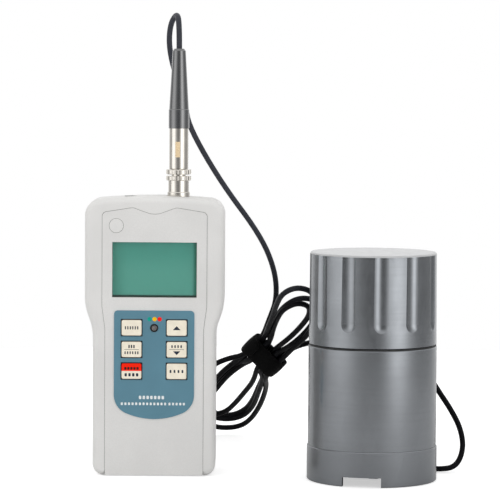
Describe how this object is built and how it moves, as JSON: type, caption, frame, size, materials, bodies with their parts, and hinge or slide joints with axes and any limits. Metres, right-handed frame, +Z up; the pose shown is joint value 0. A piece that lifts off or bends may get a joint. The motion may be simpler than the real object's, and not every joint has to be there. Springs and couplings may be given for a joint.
{
  "type": "grain moisture meter",
  "caption": "Hand-held grain moisture meter joined by a tied cable to a cylindrical grain cell with a fluted screw cap.",
  "frame": {"origin": "centre of the footprint of the meter and the grain cell, on the surface they stand on", "axes": "+Z up, the display and the cell's front face -Y, +X from the meter towards the grain cell"},
  "size_m": [0.2043, 0.2095, 0.2455],
  "materials": {
    "case_shell": "fine matte, warm light grey",
    "face_panel": "satin, warm light grey",
    "overlay": "satin film, grey blue",
    "lcd_window": "clear window, slight green",
    "lcd_module": "blank teal display",
    "key": "matte cream",
    "key_red": "matte cream with a red upper half",
    "black_plastic": "matte black",
    "led_lens": "smoked lens",
    "circuit_board": "green solder mask",
    "steel": "machined",
    "battery_skin": "plain dark sleeve",
    "chrome": "polished nickel",
    "pin_insert": "moulded insert with pins",
    "boot_rubber": "semi-gloss dark grey moulding",
    "cell_metal": "satin grey anodised",
    "insulator": "turned white polymer",
    "brass": "plain",
    "seal_rubber": "soft black",
    "cap_metal": "satin grey anodised",
    "cap_top": "satin pale grey",
    "cable_jacket": "matte black cable jacket",
    "strap_fabric": "black hook and loop"
  },
  "bodies": {
    "instrument": {"front_case": "case_shell", "rear_case": "case_shell", "face_panel": "face_panel", "keypad_overlay": "overlay", "blank_disc": "face_panel", "lcd_window": "lcd_window", "lcd_module": "lcd_module", "key_switches": "black_plastic", "led_bezel": "black_plastic", "indicator_led": "led_lens", "main_board": "circuit_board", "board_screws": "steel", "battery_tray": "black_plastic", "battery": "battery_skin", "battery_contacts": "black_plastic", "case_screws": "steel", "data_jack": "black_plastic", "sensor_socket": "chrome", "socket_bezel": "chrome", "socket_ring": "chrome", "base_ring": "cell_metal", "base_plate": "black_plastic", "base_screws": "steel", "sensor_body": "cell_metal", "grain_cup": "steel", "electrode_insulator": "insulator", "centre_electrode": "steel", "electrode_nut": "brass", "sensor_board": "circuit_board", "cable_gland": "black_plastic", "cable_lead": "cable_jacket", "cable_tail": "cable_jacket", "cable_hank": "cable_jacket", "cable_strap": "strap_fabric"},
    "key_select": {"key_select": "key"},
    "key_up": {"key_up": "key"},
    "key_mode": {"key_mode": "key"},
    "key_down": {"key_down": "key"},
    "key_power": {"key_power": "key_red"},
    "key_read": {"key_read": "key"},
    "battery_cover": {"battery_cover": "case_shell"},
    "plug": {"plug_barrel": "chrome", "plug_insert": "pin_insert", "plug_boot": "boot_rubber"},
    "plug_collar": {"plug_collar": "chrome"},
    "cap_gasket": {"cap_gasket": "seal_rubber"},
    "cap": {"cap_shell": "cap_metal", "cap_disc": "cap_top", "pressure_spring": "steel"},
    "pressure_plate": {"pressure_plate": "steel", "stem_clip": "steel"}
  },
  "joints": [
    {"name": "key_select_press", "type": "slide", "parent": "instrument", "child": "key_select", "axis": [0, 1, 0], "range_m": [0, 0.0005], "stiffness_N_per_m": 800, "springref_m": -0.0005},
    {"name": "key_up_press", "type": "slide", "parent": "instrument", "child": "key_up", "axis": [0, 1, 0], "range_m": [0, 0.0005], "stiffness_N_per_m": 800, "springref_m": -0.0005},
    {"name": "key_mode_press", "type": "slide", "parent": "instrument", "child": "key_mode", "axis": [0, 1, 0], "range_m": [0, 0.0005], "stiffness_N_per_m": 800, "springref_m": -0.0005},
    {"name": "key_down_press", "type": "slide", "parent": "instrument", "child": "key_down", "axis": [0, 1, 0], "range_m": [0, 0.0005], "stiffness_N_per_m": 800, "springref_m": -0.0005},
    {"name": "key_power_press", "type": "slide", "parent": "instrument", "child": "key_power", "axis": [0, 1, 0], "range_m": [0, 0.0005], "stiffness_N_per_m": 800, "springref_m": -0.0005},
    {"name": "key_read_press", "type": "slide", "parent": "instrument", "child": "key_read", "axis": [0, 1, 0], "range_m": [0, 0.0005], "stiffness_N_per_m": 800, "springref_m": -0.0005},
    {"name": "battery_cover_off", "type": "slide", "parent": "instrument", "child": "battery_cover", "axis": [0, 1, 0], "range_m": [0, 0.02]},
    {"name": "plug_pull", "type": "slide", "parent": "instrument", "child": "plug", "axis": [0, 0, 1], "range_m": [0, 0.012], "deforming": ["cable_lead"]},
    {"name": "collar_turn", "type": "hinge", "parent": "plug", "child": "plug_collar", "pos_m": [-0.0443, 0.0185, 0.1605], "axis": [0, 0, 1], "range_deg": [0, 90]},
    {"name": "cap_lift", "type": "slide", "parent": "instrument", "child": "cap_gasket", "axis": [0, 0, 1], "range_m": [0, 0.0161]},
    {"name": "cap_turn", "type": "hinge", "parent": "cap_gasket", "child": "cap", "pos_m": [0.059, -0.004, 0.0716], "axis": [0, 0, 1], "range_deg": [0, 720]},
    {"name": "plate_travel", "type": "slide", "parent": "cap", "child": "pressure_plate", "axis": [0, 0, 1], "range_m": [0, 0.003], "stiffness_N_per_m": 800, "springref_m": -0.004, "deforming": ["pressure_spring"]}
  ],
  "couplings": [
    {"joint": "cap_lift", "follows": "cap_turn", "m_per_rad": 0.0012732}
  ]
}
